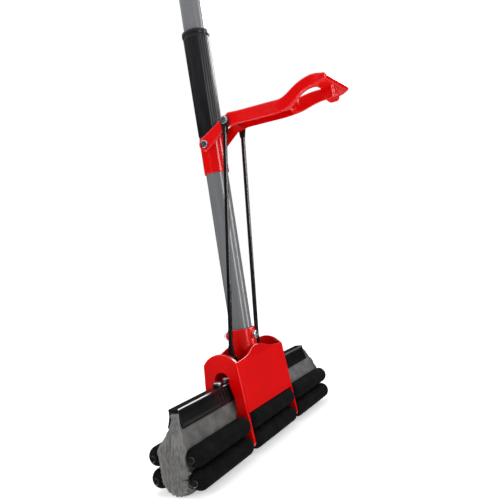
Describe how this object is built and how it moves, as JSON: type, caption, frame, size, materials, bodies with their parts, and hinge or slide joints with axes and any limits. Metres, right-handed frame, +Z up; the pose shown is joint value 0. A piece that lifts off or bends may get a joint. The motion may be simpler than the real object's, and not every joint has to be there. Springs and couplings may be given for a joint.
{
  "type": "roller sponge mop",
  "caption": "Sponge mop with a long pole, a wringing lever, two pull rods and a roller housing that squeezes the sponge as the lever lifts it.",
  "frame": {"origin": "centre of the sponge's sole at rest, on the pole's axis", "axes": "+Z up the pole, +X along the mop head, the lever points along -Y"},
  "size_m": [0.314, 0.1872, 1.18],
  "materials": {
    "pole_paint": "satin grey powder coat",
    "red_plastic": "glossy moulded plastic",
    "black_plastic": "glossy moulded plastic",
    "black_grip": "satin moulded plastic",
    "black_coated_rod": "gloss black coat",
    "zinc_steel": "zinc plated",
    "roller_foam": "matt closed-cell foam",
    "sponge_foam": "dry grey PVA sponge"
  },
  "bodies": {
    "handle": {"lower_tube": "pole_paint", "upper_tube": "pole_paint", "tube_joiner": "black_plastic", "hand_grip": "black_grip", "hanging_cap": "black_plastic", "lever_bracket": "red_plastic", "pivot_bolt": "zinc_steel", "pivot_nut": "zinc_steel", "wringer_housing": "red_plastic", "socket_bolt": "zinc_steel", "socket_nut": "zinc_steel", "axle_caps": "black_plastic", "axle_front_upper": "zinc_steel", "axle_back_upper": "zinc_steel", "axle_front_lower": "zinc_steel", "axle_back_lower": "zinc_steel"},
    "wringing_lever": {"lever": "red_plastic", "rod_screw_left": "zinc_steel", "rod_screw_right": "zinc_steel"},
    "left_rod": {"pull_rod_left": "black_coated_rod"},
    "right_rod": {"pull_rod_right": "black_coated_rod"},
    "sponge_carriage": {"sponge_channel": "black_plastic", "sponge": "sponge_foam", "lift_bracket": "black_coated_rod", "bracket_screws": "zinc_steel", "lug_pins": "zinc_steel"},
    "spin_roller_front_upper_left": {"roller_front_upper_left": "roller_foam"},
    "spin_roller_front_upper_middle": {"roller_front_upper_middle": "roller_foam"},
    "spin_roller_front_upper_right": {"roller_front_upper_right": "roller_foam"},
    "spin_roller_back_upper_left": {"roller_back_upper_left": "roller_foam"},
    "spin_roller_back_upper_middle": {"roller_back_upper_middle": "roller_foam"},
    "spin_roller_back_upper_right": {"roller_back_upper_right": "roller_foam"},
    "spin_roller_front_lower_left": {"roller_front_lower_left": "roller_foam"},
    "spin_roller_front_lower_middle": {"roller_front_lower_middle": "roller_foam"},
    "spin_roller_front_lower_right": {"roller_front_lower_right": "roller_foam"},
    "spin_roller_back_lower_left": {"roller_back_lower_left": "roller_foam"},
    "spin_roller_back_lower_middle": {"roller_back_lower_middle": "roller_foam"},
    "spin_roller_back_lower_right": {"roller_back_lower_right": "roller_foam"}
  },
  "joints": [
    {"name": "lever_swing", "type": "hinge", "parent": "handle", "child": "wringing_lever", "pos_m": [0, 0, 0.3355], "axis": [1, 0, 0], "range_deg": [-5, 92]},
    {"name": "left_rod_pivot", "type": "hinge", "parent": "wringing_lever", "child": "left_rod", "pos_m": [0, -0.031, 0.3545], "axis": [1, 0, 0], "range_deg": [-93.82, 5.38]},
    {"name": "right_rod_pivot", "type": "hinge", "parent": "wringing_lever", "child": "right_rod", "pos_m": [0, -0.031, 0.3545], "axis": [1, 0, 0], "range_deg": [-93.82, 5.38]},
    {"name": "carriage_slide", "type": "slide", "parent": "handle", "child": "sponge_carriage", "axis": [0, 0, 1], "range_m": [-0.0545, 0.003]},
    {"name": "front_upper_left_roll", "type": "hinge", "parent": "handle", "child": "spin_roller_front_upper_left", "pos_m": [0, -0.0212, 0.0348], "axis": [1, 0, 0], "continuous": true},
    {"name": "front_upper_middle_roll", "type": "hinge", "parent": "handle", "child": "spin_roller_front_upper_middle", "pos_m": [0, -0.0212, 0.0348], "axis": [1, 0, 0], "continuous": true},
    {"name": "front_upper_right_roll", "type": "hinge", "parent": "handle", "child": "spin_roller_front_upper_right", "pos_m": [0, -0.0212, 0.0348], "axis": [1, 0, 0], "continuous": true},
    {"name": "back_upper_left_roll", "type": "hinge", "parent": "handle", "child": "spin_roller_back_upper_left", "pos_m": [0, 0.0212, 0.0348], "axis": [1, 0, 0], "continuous": true},
    {"name": "back_upper_middle_roll", "type": "hinge", "parent": "handle", "child": "spin_roller_back_upper_middle", "pos_m": [0, 0.0212, 0.0348], "axis": [1, 0, 0], "continuous": true},
    {"name": "back_upper_right_roll", "type": "hinge", "parent": "handle", "child": "spin_roller_back_upper_right", "pos_m": [0, 0.0212, 0.0348], "axis": [1, 0, 0], "continuous": true},
    {"name": "front_lower_left_roll", "type": "hinge", "parent": "handle", "child": "spin_roller_front_lower_left", "pos_m": [0, -0.0212, 0.0143], "axis": [1, 0, 0], "continuous": true},
    {"name": "front_lower_middle_roll", "type": "hinge", "parent": "handle", "child": "spin_roller_front_lower_middle", "pos_m": [0, -0.0212, 0.0143], "axis": [1, 0, 0], "continuous": true},
    {"name": "front_lower_right_roll", "type": "hinge", "parent": "handle", "child": "spin_roller_front_lower_right", "pos_m": [0, -0.0212, 0.0143], "axis": [1, 0, 0], "continuous": true},
    {"name": "back_lower_left_roll", "type": "hinge", "parent": "handle", "child": "spin_roller_back_lower_left", "pos_m": [0, 0.0212, 0.0143], "axis": [1, 0, 0], "continuous": true},
    {"name": "back_lower_middle_roll", "type": "hinge", "parent": "handle", "child": "spin_roller_back_lower_middle", "pos_m": [0, 0.0212, 0.0143], "axis": [1, 0, 0], "continuous": true},
    {"name": "back_lower_right_roll", "type": "hinge", "parent": "handle", "child": "spin_roller_back_lower_right", "pos_m": [0, 0.0212, 0.0143], "axis": [1, 0, 0], "continuous": true}
  ],
  "couplings": [
    {"joint": "left_rod_pivot", "follows": "lever_swing", "ratio": -1.0165},
    {"joint": "right_rod_pivot", "follows": "lever_swing", "ratio": -1.0165},
    {"joint": "carriage_slide", "follows": "lever_swing", "m_per_rad": -0.0328}
  ]
}
